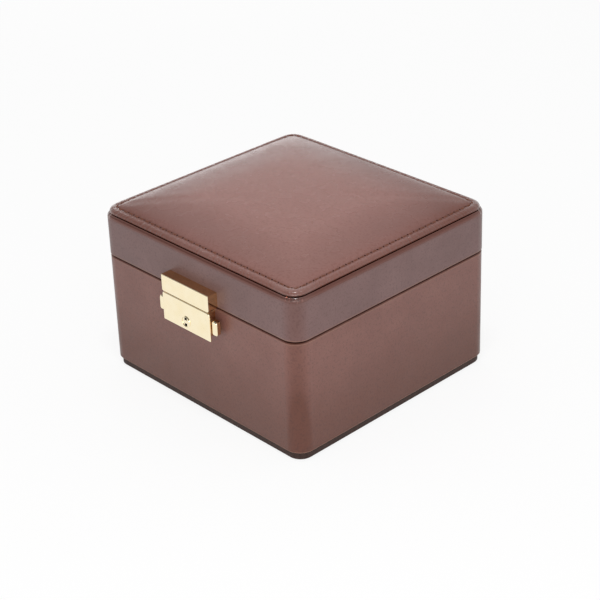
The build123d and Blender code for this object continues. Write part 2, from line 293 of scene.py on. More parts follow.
def make_grain_group():
    tree = bpy.data.node_groups.new("leather_grain", "ShaderNodeTree")
    tree.interface.new_socket("Place", in_out="INPUT", socket_type="NodeSocketVector")
    for label in grain_outputs:
        tree.interface.new_socket(label, in_out="OUTPUT", socket_type="NodeSocketFloat")
    place, end = Value(tree.nodes.new("NodeGroupInput"), "Place"), tree.nodes.new("NodeGroupOutput")
    wobble = put(tree, "ShaderNodeTexNoise", Vector=place, Scale=wobble_scale, Detail=2.0)
    drift = put(tree, "ShaderNodeVectorMath", {"operation": "SCALE"}, Scale=wobble_reach)
    feed(drift.inputs[0], Value(wobble, "Color"))
    moved = put(tree, "ShaderNodeVectorMath", {"operation": "ADD"})
    feed(moved.inputs[0], place)
    feed(moved.inputs[1], Value(drift))
    cells = put(tree, "ShaderNodeTexVoronoi", {"feature": "DISTANCE_TO_EDGE"}, Vector=Value(moved),
                Scale=grain_cells)
    crease = Value(cells, "Distance").ramp(0.0, 0.16)
    fine = noise(place, speck_scale, 3.0, 0.6)
    cloud = noise(place, cloud_scale, 5.0, 0.6) * 0.45 + fine * 0.55
    fill(end, Height=crease * 0.55 + noise(place, pebble_scale, 3.0) * 0.9,
         Cloud=cloud.ramp(0.28, 0.72), Speck=fine.ramp(0.46, 0.66),
         Gloss=noise(place, gloss_scale, 4.0).ramp(0.3, 0.7))
    return tree


grain_group = make_grain_group()
print("leather grain cells, mm:", round(1000 / grain_cells, 2))

# %% [markdown]
# ## Materials
#
# Each finish is one material with a Principled BSDF. What is the same all over a
# surface is set on the shader itself. What changes over it, such as tone, gloss and
# grain, comes from the nodes.

# %% Helpers for finished materials
def new_material(name, **values):
    """A material, its shader with these values, and the object's coordinates."""
    material = bpy.data.materials.new(name)
    material.use_nodes = True
    tree = material.node_tree
    shader = tree.nodes["Principled BSDF"]
    fill(shader, **values)
    return material, shader, Value(tree.nodes.new("ShaderNodeTexCoord"), "Object")


def leather_grain(place):
    node = put(place.tree, "ShaderNodeGroup", {"node_tree": grain_group}, Place=place)
    return [Value(node, label) for label in grain_outputs]


def bump(height, strength, depth, under=None):
    """The normal of a surface with these heights, in metres of depth."""
    node = put(height.tree, "ShaderNodeBump", Strength=strength, Distance=depth, Height=height)
    if under is not None:
        feed(node.inputs["Normal"], under)
    return Value(node, "Normal")


# %% [markdown]
# ## Case leather
#
# The walls are red-brown. Painted shade darkens the leather at the rims of base and
# lid, along the foot, low on the walls, towards their ends and down the corners. A
# thin pale line along the foot and beside the seam is a painted highlight. The seam
# and the groove beside the panel are painted nearly black as painted shade. Deep
# shade shows hardly any shine, and neither has a very dark metal, so the same mask
# also drives Metallic. The band's tones are greyer than the base's: a painted
# reflection of the white room. Its rolled top is painted browner and, with half
# Metallic, duller than its side: painted shade. At its corners the leather is
# gathered in small pleats and rubbed to a shine, which is what the coat is for.
# Masks from the object's own coordinates place all this, so it stays put when the
# lid opens.

# %% Tones and masks of the leather
corner_radius = 9.8 * mm
band_roll = 2.3 * mm
seam_middle = 72.3 * mm
seam_shade_reach = 0.68 * mm       # painted shade blackens the leather this far from the seam's middle
roll_shade_drop, roll_shade_reach = 1.2 * mm, 2.4 * mm    # the painted shade strip on the band's rolled top, from the top of the band
darkest_burn = 0.94
pleat_waves, pleat_wander = 21.0, 7.0
base_low, base_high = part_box("base_leather")
lid_low, lid_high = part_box("lid_leather")
groove_x, groove_y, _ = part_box("lid_panel_leather")[1]
panel_corner = 8.5 * mm
base_dark, base_light = (0.222, 0.096, 0.08, 1), (0.345, 0.164, 0.138, 1)
# the band's tones are greyer than the base's: a painted reflection of the white room
band_dark_and_sheen, band_light_and_sheen = (0.164, 0.09, 0.085, 1), (0.246, 0.144, 0.138, 1)
panel_dark, panel_light = (0.178, 0.08, 0.068, 1), (0.245, 0.113, 0.098, 1)
# painted light on the panel's crown
painted_crown_light = (0.33, 0.15, 0.128, 1)
painted_front_light = (0.33, 0.165, 0.142, 1)     # painted light: the panel pales towards this at its front right
# painted shade on the case and the panel, and the panel's dark specks
shade_and_speck_brown = (0.13, 0.042, 0.025, 1)
leather_speck = (0.07, 0.026, 0.02, 1)
# painted shade on the band's rolled top
roll_shade_brown = (0.16, 0.064, 0.05, 1)
# a painted highlight along the foot and beside the seam
painted_edge_highlight = (0.48, 0.27, 0.19, 1)
# painted shade in the seam, beside the panel and in the needle holes
painted_shade_black = (0.12, 0.034, 0.02, 1)
grain_relief = (0.22, 0.12 * mm)     # strength and depth


def near_level(height, level, reach):
    """1 at a level, fading to 0 at a distance of reach from it."""
    return abs(height - level).fade(0.0, reach)


def corner_mask(x, y, reach):
    """1 in the four upright corners of the case."""
    return (abs(x).ramp(lid_high.x - reach, lid_high.x - reach * 0.3)
            * abs(y).ramp(lid_high.y - reach, lid_high.y - reach * 0.3))


def wall_ends(x, y):
    """1 at the ends of the walls, fading towards their middles."""
    along = abs(y).ramp(lid_high.y * 0.35, lid_high.y)
    return abs(x).ramp(lid_high.x * 0.35, lid_high.x).maths("MAXIMUM", along)


def outside_panel(x, y):
    """Distance out from the padded panel's outline, round its corners as well."""
    across, along = ((abs(value) - (half - panel_corner)).maths("MAXIMUM")
                     for value, half in ((x, groove_x), (y, groove_y)))
    return (across ** 2.0 + along ** 2.0).maths("SQRT") - panel_corner


def painted_shade_amount(x, y, z, band):
    """How much painted shade darkens the leather: at the rims, low on the walls, at their ends and
    corners.
    """
    rims = (near_level(z, seam_middle, 2.2 * mm) + near_level(z, base_low.z, 2.5 * mm)
            + near_level(z, lid_high.z, 4.5 * mm) * 1.8)
    walls = z.ramp(base_low.z, base_low.z + 60 * mm, 0.60, 0.0) + wall_ends(x, y) * (0.28 - band * 0.2)
    corners = corner_mask(x, y, corner_radius) * z.ramp(base_low.z, base_low.z + 45 * mm, 1.05, 0.34)
    return (rims * 0.35 + (walls + corners)).maths("MINIMUM", darkest_burn)


# %% Case leather
def make_case_leather():
    material, shader, place = new_material("case_leather", IOR=1.42, Coat_Roughness=0.22)
    x, y, z = axes(place)
    height, cloud, speck, gloss = leather_grain(place)
    band = z.ramp(seam_middle - 0.1 * mm, seam_middle + 0.1 * mm)
    rolled = z.ramp(lid_high.z - band_roll * 1.5, lid_high.z - band_roll * 0.4)
    # painted shade on the band's rolled top: browner, and duller through half Metallic
    strip = near_level(z, lid_high.z - roll_shade_drop, roll_shade_reach)
    beside_seam = near_level(abs(z - seam_middle), seam_shade_reach + 0.5 * mm, 0.45 * mm)
    # painted highlight: a thin pale line along the foot and beside the seam
    edge_highlight = near_level(z, base_low.z + 0.5 * mm, 0.5 * mm) + beside_seam * 0.5
    # painted shade: nearly black in the seam and in the groove beside the panel
    beside_panel = (outside_panel(x, y).fade(0.0, 0.08 * mm)
                    * z.ramp(lid_high.z - 2.5 * mm, lid_high.z - 1.5 * mm))
    shade_painted = beside_panel.maths("MAXIMUM", near_level(z, seam_middle, seam_shade_reach))

    # The band's greyer tones are a painted reflection of the white room.
    tone = band.blend(cloud.blend(base_dark, base_light), cloud.blend(band_dark_and_sheen, band_light_and_sheen))
    # painted shade at the rims, low on the walls, towards their ends and down the corners
    tone = painted_shade_amount(x, y, z, band).blend(tone, shade_and_speck_brown)
    tone = (speck * 0.42).blend(tone, leather_speck)
    tone = strip.blend(tone, roll_shade_brown)
    tone = (edge_highlight * 0.6).blend(tone, painted_edge_highlight)

    across, along = abs(x) - (lid_high.x - corner_radius), abs(y) - (lid_high.y - corner_radius)
    turned = along.maths("ARCTAN2", across)
    pleats = (turned * pleat_waves + noise(place, 300.0) * pleat_wander).maths("SINE")
    folds = bump(pleats * rolled * corner_mask(x, y, corner_radius * 1.1), 0.9, 0.45 * mm)
    rubbed = rolled * corner_mask(x, y, corner_radius * 1.8)
    # Metallic with these dark tones takes the shine out of the painted shade in the seam, the groove
    # and on the rolled top
    fill(shader, Base_Color=shade_painted.blend(tone, painted_shade_black), Metallic=shade_painted.maths("MAXIMUM", strip * 0.5),
         Roughness=gloss.ramp(0.0, 1.0, 0.30, 0.38) - rolled * 0.20, Coat_Weight=rubbed * 0.9 + 0.05,
         Normal=bump(height, *grain_relief, folds))
    return material


case_leather = make_case_leather()
# how far the painted shade at the seam reaches, in mm
print("case leather inked beside the seam, mm:", round(seam_shade_reach / mm, 2))

# %% [markdown]
# ## Padded leather, thread and needle holes
# The panel is the same leather, stretched over padding. Its UV map gives, in
# metres, how far a point lies along the stitch line and how far in from the panel's
# edge. From those the material draws a needle hole between every two stitches,
# painted black as painted shade, and the shallow pull round it. Holes cut into the
# mesh would need far more faces. The panel's very edge is painted black too, as
# painted shade. Along the sewn rim it also crimps the leather in short creases
# across. Painted light pales the crown and the front right. Painted shade darkens
# the left and right corners, the rim's outer roll and the stitch channel.
# one tone: this one is paler at the crown and to the front right, and darker beside.

# %% Panel leather and thread
stitch_pitch_aim = 4.75 * mm
sewn_inset = 4.6 * mm       # stitch line, in from the panel's edge
hole_length = 0.62 * mm
hole_width = 0.36 * mm
crimp_across, crimp_inward, crimp_relief = 620.0, 150.0, 2.4
thread_dark, thread_light = (0.1, 0.032, 0.018, 1), (0.25, 0.095, 0.055, 1)


def make_panel_leather(pitch):
    material, shader, place = new_material("panel_leather", IOR=1.38, Coat_Roughness=0.2)
    x, y, _ = axes(place)
    height, cloud, speck, gloss = leather_grain(place)
    along, inward, _ = axes(Value(put(place.tree, "ShaderNodeUVMap", {"uv_map": "sewing"})))
    beside = ((along / pitch).maths("FRACT") - 0.5) * pitch
    off_line = inward - sewn_inset
    from_hole = ((beside / hole_length) ** 2.0 + (off_line / hole_width) ** 2.0).maths("SQRT")
    hole = from_hole.fade(0.7, 1.3)
    # painted shade: the needle holes and the panel's very edge are painted black
    shade_painted = hole.maths("MAXIMUM", inward.fade(0.0, 0.18 * mm))

    tone = cloud.blend(panel_dark, panel_light)
    # painted light on the crown
    tone = inward.ramp(5 * mm, 48 * mm, 0.0, 0.85).blend(tone, painted_crown_light)
    # painted light towards the panel's front right
    tone = (x - y).ramp(0.0, 115 * mm, 0.0, 0.44).blend(tone, painted_front_light)
    # painted shade at the panel's left and right corners; the specks are the leather's own
    side_corner_shade = abs(x + y).ramp(70 * mm, 140 * mm, 0.0, 0.30)
    tone = (side_corner_shade + speck * 0.34).blend(tone, shade_and_speck_brown)
    # painted shade in the stitch channel and on the rim's outer roll
    channel_shade = abs(off_line).fade(0.0, 1.1 * mm)
    tone = (inward.ramp(0.6 * mm, 2.6 * mm, 0.35, 0.0) + channel_shade * 0.22).blend(tone, shade_and_speck_brown)

    crimps = put(place.tree, "ShaderNodeCombineXYZ", X=along * crimp_across, Y=inward * crimp_inward)
    crimp = noise(Value(crimps), 1.0) * inward.fade(sewn_inset - 0.8 * mm, sewn_inset + 0.8 * mm)
    dip = from_hole.fade(1.0, 5.0) * 0.5 + hole + crimp * crimp_relief
    rubbed = inward.fade(3.0 * mm, 4.5 * mm) * corner_mask(x, y, corner_radius * 2.4)
    # Metallic with the dark tone takes the shine out of the painted shade
    fill(shader, Base_Color=shade_painted.blend(tone, painted_shade_black), Metallic=shade_painted,
         Roughness=gloss.ramp(0.0, 1.0, 0.23, 0.29) - inward.ramp(3.0 * mm, 6.0 * mm, 0.15, 0.0),
         Coat_Weight=rubbed * 0.9 + 0.06,
         Normal=bump(height, *grain_relief, bump(0.0 - dip, 0.8, 0.5 * mm)))
    return material


def make_thread():
    material, shader, place = new_material("thread", Roughness=0.75, Specular_IOR_Level=0.25)
    strands = noise(place, 2600.0)
    fill(shader, Base_Color=strands.blend(thread_dark, thread_light),
         Normal=bump(strands, 0.5, 0.12 * mm))
    return material


thread = make_thread()
print("needle holes, mm:", round(hole_length / mm, 2), "by", round(hole_width / mm, 2))

# %% [markdown]
# ## Brass
#
# The lock is stamped from brass, polished and lacquered, so it mirrors the white
# room and the brown leather beside it. Its sides are painted a darker, deeper brass
# as painted shade. The hinges are the plainer kind: rolled strip with a brushed face.
# Both get fine streaks and a little clouding, because perfectly even metal looks
# like plastic.

# %% Lock brass and hinge brass
brass_bright, brass_deep = (0.97, 0.86, 0.62, 1), (0.95, 0.82, 0.55, 1)
# painted shade on the sides of the lock's pieces
brass_side_shade = (0.82, 0.56, 0.3, 1)
hinge_tone, hinge_dull = (0.8, 0.62, 0.34, 1), (0.62, 0.46, 0.24, 1)
lock_streaks, hinge_streaks = (300.0, 300.0, 4000.0), (220.0, 5200.0, 5200.0)    # cells a metre
lock_front = max(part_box("lock_cover")[0].y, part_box("lock_plate")[0].y)
plate_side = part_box("lock_plate")[1].x
button_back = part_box("button_left")[0].y - lock_front


def behind_front(x, y):
    """1 on the sides of the lock's pieces, 0 on their faces. The buttons' faces lie further back."""
    set_back = abs(x).ramp(plate_side + 0.05 * mm, plate_side + 0.1 * mm, 0.0, button_back)
    return (y - set_back).ramp(lock_front + 0.2 * mm, lock_front + 0.9 * mm)


def make_brass(name, bright, deep, sides, polish, streaks):
    """polish is the lowest and the highest roughness."""
    material, shader, place = new_material(name, Metallic=1.0)
    x, y, _ = axes(place)
    stretched = put(place.tree, "ShaderNodeMapping", Vector=place, Scale=streaks)
    scratch = noise(Value(stretched), 1.0, 4.0, 0.7)
    cloud = noise(place, 120.0, 3.0)
    tone = cloud.ramp(0.3, 0.8).blend(bright, deep)
    wear = scratch * 0.5 + cloud * 0.5
    # the sides of the lock's pieces get painted shade
    fill(shader, Base_Color=behind_front(x, y).blend(tone, sides),
         Roughness=wear.ramp(0.3, 0.7, *polish), Normal=bump(scratch, 0.12, 0.02 * mm))
    return material


lock_brass = make_brass("lock_brass", brass_bright, brass_deep, brass_side_shade, (0.03, 0.09), lock_streaks)
hinge_brass = make_brass("hinge_brass", hinge_tone, hinge_dull, hinge_tone, (0.22, 0.38), hinge_streaks)
print("button faces behind the plate's, mm:", round(button_back / mm, 2))

# %% [markdown]
# ## Velvet, board, foam and bookcloth
#
# The inside is beige cotton velvet. Its pile leans a little this way and that, which
# shows as broad light and dark strokes, and it catches light at its edges, which is
# what the shader's sheen is for. The board is pressed fibre, the padding is open
# foam, and the foot is covered in dark bookcloth.

# %% Soft and plain finishes
velvet_tones = (0.45, 0.345, 0.235, 1), (0.56, 0.44, 0.31, 1)
board_tones = (0.3, 0.2, 0.13, 1), (0.47, 0.34, 0.23, 1)
foam_tones = (0.62, 0.58, 0.5, 1), (0.8, 0.77, 0.69, 1)
foot_tones = (0.03, 0.014, 0.01, 1), (0.06, 0.03, 0.023, 1)


def make_soft(name, tones, broad, fine, fine_share, relief, **values):
    """Two tones, mixed by a broad and a fine noise. The fine one is also the relief."""
    material, shader, place = new_material(name, **values)
    fine = noise(place, *fine)
    mixed = noise(place, *broad) * (1 - fine_share) + fine * fine_share
    fill(shader, Base_Color=mixed.ramp(0.35, 0.65).blend(*tones), Normal=bump(fine, *relief))
    return material


def make_speckled(name, tones, scale, roughness, depth):
    return make_soft(name, tones, (scale * 0.2, 3.0), (scale, 3.0, 0.65), 0.6, (0.6, depth),
                     Roughness=roughness, Specular_IOR_Level=0.3)


velvet = make_soft("velvet", velvet_tones, (48.0, 3.0, 0.6), (2300.0,), 0.3, (0.5, 0.25 * mm),
                   Roughness=0.92, Specular_IOR_Level=0.2, Sheen_Weight=0.65, Sheen_Roughness=0.35,
                   Sheen_Tint=(1.0, 0.93, 0.82, 1.0))
board = make_speckled("board", board_tones, 900.0, 0.85, 0.2 * mm)
foam = make_speckled("padding", foam_tones, 1800.0, 0.95, 0.4 * mm)
foot_cover = make_speckled("foot_cover", foot_tones, 2200.0, 0.6, 0.15 * mm)
print("soft and plain finishes made: 4")

# %% [markdown]
# ## Dress the CAD pieces
#
# The record says which slot each CAD node takes its finish from, so one table of
# slot and material dresses them all.

# %% Materials on the CAD nodes
finish_of = dict(case_leather=case_leather, panel_leather=case_leather, board=board, padding=foam,
                 foot_cover=foot_cover, velvet=velvet, lock_brass=lock_brass, hinge_brass=hinge_brass)
for row in frame["record"]["subparts"]:
    mesh = nodes[row["node"]].data
    mesh.materials.clear()
    mesh.materials.append(finish_of[row["material_slot"]])
print(len(nodes), "CAD nodes dressed")

# %% [markdown]
# ## Ringed patches
#
# A padded panel and a velvet seat are both one sheet that runs over an edge and on to
# a middle. A plain grid has its rows in the wrong place for that: an edge or a seam
# needs rows that follow the outline. So each starts as a square grid, and its square
# rings are laid on rounded outlines, one inside the other. Each ring then has its own
# size, corner and height, and no row of faces pinches.

# %% Helpers for ringed patches
class Ring:
    """One closed row of a patch: half sizes, corner radius and height."""

    def __init__(self, half_x, half_y, corner, height):
        self.half_x, self.half_y, self.height = half_x, half_y, height
        self.corner = min(corner, half_x, half_y)

    def half_side(self, half):
        return half - self.corner + self.corner * math.pi / 4

    def point(self, side, share):
        """side 0 to 3 runs anticlockwise from the front, and share from -1 to 1 along it."""
        across, out = (self.half_x, self.half_y) if side % 2 == 0 else (self.half_y, self.half_x)
        run = abs(share) * self.half_side(across)
        straight = across - self.corner
        bend = 0.0 if self.corner == 0 else max(run - straight, 0.0) / self.corner
        flat = Vector((math.copysign(min(run, straight) + self.corner * math.sin(bend), share),
                       -out + self.corner * (1 - math.cos(bend)), self.height))
        return Matrix.Rotation(side * math.pi / 2, 3, "Z") @ flat


def ring_place(u, v):
    """The side of the square that a grid point belongs to, and its share along that side."""
    reach = max(abs(u), abs(v))
    if reach < 1e-9:
        return 0, 0.0
    if abs(v) >= abs(u):
        return (0, u / reach) if v < 0 else (2, -u / reach)
    return (1, v / reach) if u > 0 else (3, -v / reach)


def square_grid(count):
    """A bmesh grid from -1 to 1 with this many square rings round its middle."""
    shape = bmesh.new()
    bmesh.ops.create_grid(shape, x_segments=2 * count, y_segments=2 * count, size=1.0)
    return shape


def ringed_patch(rings):
    """A bmesh whose square rings lie on the given ones, listed from the outside in."""
    count = len(rings) - 1
    shape = square_grid(count)
    for vert in shape.verts:
        u, v = vert.co.x, vert.co.y
        level = round(max(abs(u), abs(v)) * count)
        vert.co = rings[count - level].point(*ring_place(u, v))
    return shape


def shrinking_rings(half_x, half_y, corner, widening, parts, height):
    """Rings from an outline in to its middle, whose corners widen on the way."""
    rings = []
    for part in parts:
        distance = half_y * part
        wider = min(corner + widening * distance, 0.8 * (half_y - distance))
        rings.append(Ring(half_x * (1 - part), half_y * (1 - part), max(wider, 0.0), height(distance)))
    return rings


def quarter_arc(count, start=0):
    """Steps over a quarter turn: how far each has turned in, and how far up, from 0 to 1."""
    angles = [math.radians(90 * step / count) for step in range(start, count + 1)]
    return [(1 - math.cos(angle), math.sin(angle)) for angle in angles]


def open_edges(shape):
    return [edge for edge in shape.edges if edge.is_boundary]


def extend(shape, edges):
    """Extrudes a sheet's open edges. Gives the new open edges and their points."""
    grown = bmesh.ops.extrude_edge_only(shape, edges=edges)["geom"]
    edges = [item for item in grown if isinstance(item, bmesh.types.BMEdge) and item.is_boundary]
    return edges, {vert for edge in edges for vert in edge.verts}


def new_piece(name, shape, material, smooth=True):
    """A finished piece. Its bmesh is freed."""
    piece = new_object(name, shape)
    shape.free()
    piece.data.materials.append(material)
    if smooth:
        piece.data.shade_smooth()
    return piece


def evaluated(thing):
    return thing.evaluated_get(bpy.context.evaluated_depsgraph_get())


def subdivided(shape):
    """The same shape after Subdivision Surface, as a bmesh that can be worked on further."""
    work = new_object("smoothing", shape)
    shape.free()
    modifier = work.modifiers.new("smooth", "SUBSURF")
    modifier.levels = modifier.render_levels = 1
    finer = bmesh.new()
    smoothed = evaluated(work)
    finer.from_mesh(smoothed.to_mesh())
    smoothed.to_mesh_clear()
    bpy.data.meshes.remove(work.data)
    return finer


# %% [markdown]
# ## Swelling padding with cloth
#
# Padding pushes its cover out until the cover is tight. Moving the points by a
# formula gives the main rise, but not the uneven swell that real stuffing has. Cloth
# with a little pressure adds that swell. The sewn edge is pinned, gravity is off, and
# a cap on the movement keeps the pad within its room.

# %% Helper for cloth pressure
cloth_settings = {"quality": 4, "mass": 0.3, "use_pressure": True, "vertex_group_mass": "pins",
                  "tension_stiffness": 12.0, "compression_stiffness": 12.0, "shear_stiffness": 12.0,
                  "bending_stiffness": 0.6}
cloth_frames = 20


def swell(shape, held, pressure, cap):
    """Blows a bmesh out like a pad. held(co) says how firmly a point is pinned, 0 to 1."""
    work = new_object("swelling", shape)
    pins = work.vertex_groups.new(name="pins")
    for vert in work.data.vertices:
        pins.add([vert.index], held(vert.co), "REPLACE")
    cloth = work.modifiers.new("cloth", "CLOTH")
    for name, value in cloth_settings.items():
        setattr(cloth.settings, name, value)
    cloth.settings.uniform_pressure_force = pressure
    cloth.settings.effector_weights.gravity = 0.0
    cloth.collision_settings.use_collision = False
    cloth.point_cache.frame_start, cloth.point_cache.frame_end = 1, cloth_frames
    scene = bpy.context.scene
    for number in range(1, cloth_frames + 1):
        scene.frame_set(number)
    swollen = evaluated(work).to_mesh()
    shape.verts.ensure_lookup_table()
    most = 0.0
    for vert, moved in zip(shape.verts, swollen.vertices):
        step = moved.co - vert.co
        if step.length > 1e-9:
            step *= cap * math.tanh(step.length / cap) / step.length
        vert.co += step
        most = max(most, step.length)
    scene.frame_set(1)
    bpy.data.meshes.remove(work.data)
    return most


# %% [markdown]
# ## Padded panel of the lid
#
# The top of the lid is a separate panel: leather stretched over foam and board, with
# a firm rolled rim and a line of stitches inside it. Within the stitches the padding
# rises steeply at first and then more slowly to the middle. Sculpting would do, but
# the rim has to be even all round. So the panel is a ringed patch, with rows that
# follow the rim and the stitch line, and only the middle is swollen as cloth.

# %% Rings of the padded panel
panel_low, panel_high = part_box("lid_panel_leather")
panel_x, panel_y, panel_base = panel_high.x, panel_high.y, panel_low.z
rim_radius = 2.9 * mm
rim_swell = 0.5 * mm
rim_flattened = 0.45 * mm
crown_height = 5.0 * mm
padding_rises = ((1.0 * mm, 1.8 * mm), (2.9 * mm, 6.5 * mm), (1.1 * mm, 28 * mm))    # height, reach
groove_height = 2.7 * mm
groove_z = panel_base + groove_height
middle_rows = 34
middle_widening = 0.45      # how fast the corners widen inwards
sewn_x, sewn_y = panel_x - sewn_inset, panel_y - sewn_inset
sewn = Ring(sewn_x, sewn_y, panel_corner - sewn_inset, 0.0)


def panel_ring(inset, height):
    return Ring(panel_x - inset, panel_y - inset, panel_corner - inset, panel_base + height)


def rim_rings():
    """From under the rim, round it and down to the stitches."""
    return [panel_ring(0.9 * mm, 0.03 * mm), panel_ring(0.2 * mm, 0.25 * mm),
            *(panel_ring(rim_radius * turned, rim_swell + (rim_radius - rim_flattened) * up)
              for turned, up in quarter_arc(8)),
            panel_ring(3.5 * mm, 2.93 * mm), panel_ring(4.1 * mm, 2.80 * mm)]


def rise(distance):
    """Height of the padding over the stitch line, at a distance from it."""
    return sum(height * (1 - math.exp(-distance / reach)) for height, reach in padding_rises)


def crown(place):
    """Height of the padding at a place inside the stitches: a rise from each pair of sides."""
    return (crown_height * rise(sewn_x - abs(place.x)) / rise(sewn_x)
            * rise(sewn_y - abs(place.y)) / rise(sewn_y))


middle_parts = [(step / middle_rows) ** 1.25 for step in range(middle_rows + 1)]
panel_rings = rim_rings() + shrinking_rings(sewn_x, sewn_y, sewn.corner, middle_widening,
                                            middle_parts, lambda distance: groove_z)
print("panel rows:", len(panel_rings), "and crown, mm:", round((groove_z + crown_height) / mm, 1))

# %% The padded panel
side_lengths = [2 * sewn.half_side(half) for half in (sewn_x, sewn_y) * 2]
sewn_length = sum(side_lengths)
stitches = 4 * round(sewn_length / stitch_pitch_aim / 4)
stitch_pitch = sewn_length / stitches
pinned_inset = sewn_inset + 0.4 * mm
pinned_fade = 9 * mm
panel_pressure, panel_cap = 1.2, 0.4 * mm
smoothing_rounds = 14
turned_in = 1.05 * mm
board_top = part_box("lid_panel_board")[1].z


def panel_inset(place):
    """Distance in from the panel's edge, measured across the corner where there is one."""
    over_x = abs(place.x) - (panel_x - panel_corner)
    over_y = abs(place.y) - (panel_y - panel_corner)
    if over_x > 0 and over_y > 0:
        return panel_corner - math.hypot(over_x, over_y)
    return min(panel_x - abs(place.x), panel_y - abs(place.y))


def panel_pins(place):
    free_by = max(panel_inset(place) - pinned_inset, 0.0)
    return max(0.0, 1.0 - free_by / pinned_fade) ** 2


def along_stitches(side, share):
    return sum(side_lengths[:side]) + (share + 1) / 2 * side_lengths[side]


def add_sewing_map(shape, count):
    """UV in metres: how far along the stitch line, and how far in from the edge."""
    sewing = shape.loops.layers.uv.new("sewing")
    source = square_grid(count)
    along_of = [along_stitches(*ring_place(vert.co.x, vert.co.y)) for vert in source.verts]
    source.free()
    for face in shape.faces:
        first = along_of[face.loops[0].vert.index]
        for loop in face.loops:
            along = along_of[loop.vert.index]
            laps = round((along - first) / sewn_length)     # where the line's end meets its start
            loop[sewing].uv = (along - laps * sewn_length, panel_inset(loop.vert.co))


def close_under(shape):
    """Turns the leather in under the rim and up round the board, then closes it."""
    edges = open_edges(shape)
    for inset, height in ((turned_in, panel_base + 0.03 * mm), (0.0, board_top + 0.05 * mm)):
        edges, verts = extend(shape, edges)
        for vert in verts:
            vert.co = (vert.co.x * (1 - inset / panel_x), vert.co.y * (1 - inset / panel_y), height)
    bmesh.ops.holes_fill(shape, edges=edges, sides=0)
    bmesh.ops.recalc_face_normals(shape, faces=shape.faces)


panel_shape = ringed_patch(panel_rings)
panel_shape.verts.index_update()
for vert in panel_shape.verts:
    if max(abs(vert.co.x) - panel_x, abs(vert.co.y) - panel_y) < -sewn_inset:
        vert.co.z += crown(vert.co)
most = swell(panel_shape, panel_pins, panel_pressure, panel_cap)
print("padding swelled by, mm:", round(most / mm, 2))
free = [vert for vert in panel_shape.verts if panel_pins(vert.co) < 0.4]
for _ in range(smoothing_rounds):
    bmesh.ops.smooth_vert(panel_shape, verts=free, factor=0.5, use_axis_z=True)
add_sewing_map(panel_shape, len(panel_rings) - 1)
panel_shape = subdivided(panel_shape)
close_under(panel_shape)
panel = new_piece("padded_panel", panel_shape, make_panel_leather(stitch_pitch))
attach(panel, "lid")
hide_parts("lid_panel_leather", "lid_panel_foam")
print(stitches, "stitches, pitch mm:", round(stitch_pitch / mm, 2))

# %% [markdown]
# ## Stitches
#
# The panel is sewn with a thick thread, a lockstitch that goes down through a needle
# hole between every two stitches. A curve with a bevel would show one long cord. Each
# stitch is a short rounded bar that dips at both ends, turned to follow the line.

# %% Stitches round the panel
stitch_length = 3.5 * mm
stitch_dip = 0.45 * mm      # how far the ends lie below the middle
stitch_lean = 0.05          # in radians, so that no two stitches lie quite alike
thread_radius = 0.42 * mm
thread_flattened = 0.85
thread_height = groove_z + 0.18 * mm


def point_along(distance):
    """The place and heading of a point on the stitch line."""
    for side, length in enumerate(side_lengths):
        if distance <= length:
            break
        distance -= length
    share = 2 * distance / length - 1
    step = 0.002
    heading = sewn.point(side, min(share + step, 1)) - sewn.point(side, max(share - step, -1))
    return sewn.point(side, share), math.atan2(heading.y, heading.x)


def make_stitches():
    shape = bmesh.new()
    for number in range(stitches):
        here, heading = point_along(number * stitch_pitch)
        heading += stitch_lean * math.sin(number * 2.3)
        made = bmesh.ops.create_uvsphere(shape, u_segments=8, v_segments=7, radius=1.0)["verts"]
        bmesh.ops.rotate(shape, verts=made, matrix=Matrix.Rotation(math.pi / 2, 3, "Y"))
        for vert in made:
            x, y, z = vert.co
            vert.co = (x * stitch_length / 2, y * thread_radius,
                       z * thread_radius * thread_flattened - stitch_dip * x ** 4)
        bmesh.ops.rotate(shape, verts=made, matrix=Matrix.Rotation(heading, 3, "Z"))
        bmesh.ops.translate(shape, verts=made, vec=(here.x, here.y, thread_height))
    return shape


thread_piece = new_piece("panel_stitches", make_stitches(), thread)
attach(thread_piece, "lid")
print("stitches made:", stitches)

# %% [markdown]
# ## Velvet over the insert
#
# One sheet of velvet is glued over the insert, rolls over the mouth of each seat and
# runs down its wall and over its floor. Cutting holes with a Boolean would leave
# sharp edges that cloth never has. Each quarter is instead a ringed patch. Its outer
# rows follow the quarter's straight sides, and its inner rows follow the keyhole shape
# of a watch with its bow. The quarters are merged along their shared sides.

# %% Keyhole rows of one quarter
sheet_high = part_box("insert_velvet")[1]
velvet_thickness = 0.8 * mm
mouth_roll = 1.5 * mm
floor_cove = 1.2 * mm
seat_radius = 25 * mm
notch_half = 6.5 * mm
notch_end = seat_radius + 9.5 * mm
notch_power, seat_power = -9.0, 14      # the further from 0, the squarer two outlines meet
quarter_x, quarter_y = sheet_high.x / 2, sheet_high.y / 2
seat_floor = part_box("recess_cushion_1")[0].z
top_parts = (0.0, 0.2, 0.45, 0.7, 0.9)
wall_parts = (0.2, 0.4, 0.6, 0.8, 1.0)
floor_parts = [1 - step / 14 for step in range(1, 15)]


def power_blend(first, second, power):
    return (first ** power + second ** power) ** (1 / power)


def keyhole(angle):
    """Distance from the seat's centre to its wall. The bow's notch lies towards +Y."""
    off = abs(math.remainder(angle - math.pi / 2, 2 * math.pi))
    if off > math.pi / 3:
        return seat_radius
    notch = power_blend(notch_end / math.cos(off), notch_half / max(math.sin(off), 1e-6), notch_power)
    return power_blend(seat_radius, notch, seat_power)


